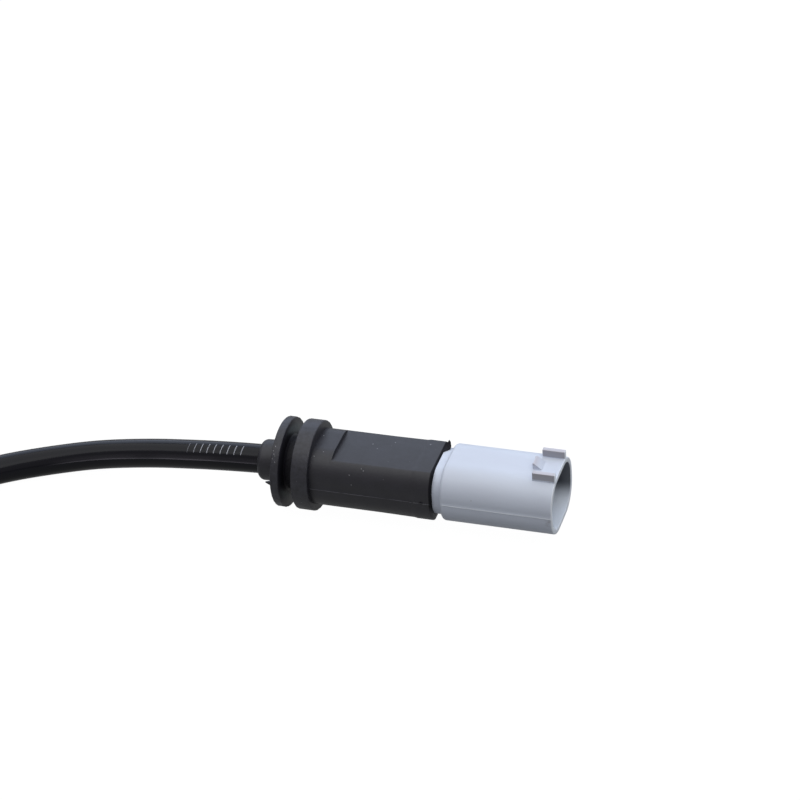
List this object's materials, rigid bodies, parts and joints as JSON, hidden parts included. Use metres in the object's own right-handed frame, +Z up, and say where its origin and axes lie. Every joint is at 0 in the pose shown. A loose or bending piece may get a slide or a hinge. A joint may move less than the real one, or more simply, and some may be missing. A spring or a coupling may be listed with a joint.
{
  "type": "brake pad wear sensor",
  "caption": "Wear sensor lead: plastic plug in a flanged rubber boot, black cable in a tied hank, and a clip-on sensing head.",
  "frame": {"origin": "under the middle of the plug with its boot, on the surface that it lies on", "axes": "+X along the plug towards its open mouth, +Y across it, +Z up"},
  "size_m": [0.2242, 0.0464, 0.015],
  "materials": {
    "shell": "moulded, light blue-grey, satin",
    "boot": "moulded rubber, charcoal, matte",
    "jacket": "extruded jacket, black, glossy",
    "lock": "moulded, grey",
    "contact": "tin plated",
    "seal": "silicone, blue",
    "core_brown": "core insulation, brown",
    "core_blue": "core insulation, blue",
    "tie": "flat band, black",
    "head": "moulded, black, fine grain",
    "clip": "spring steel strip"
  },
  "bodies": {
    "root": {"connector_housing": "shell", "rubber_boot": "boot", "terminal_lock": "lock", "contact_pin_1": "contact", "contact_pin_2": "contact", "wire_seal_1": "seal", "wire_seal_2": "seal", "core_wire_1": "core_brown", "core_wire_2": "core_blue", "cable_lead": "jacket", "cable_hank": "jacket", "cable_tail": "jacket", "hank_tie_1": "tie", "hank_tie_2": "tie", "head_body": "head", "head_strain_relief": "boot", "head_clip": "clip", "sensing_loop": "contact", "head_splice_1": "contact", "head_splice_2": "contact"}
  },
  "joints": []
}
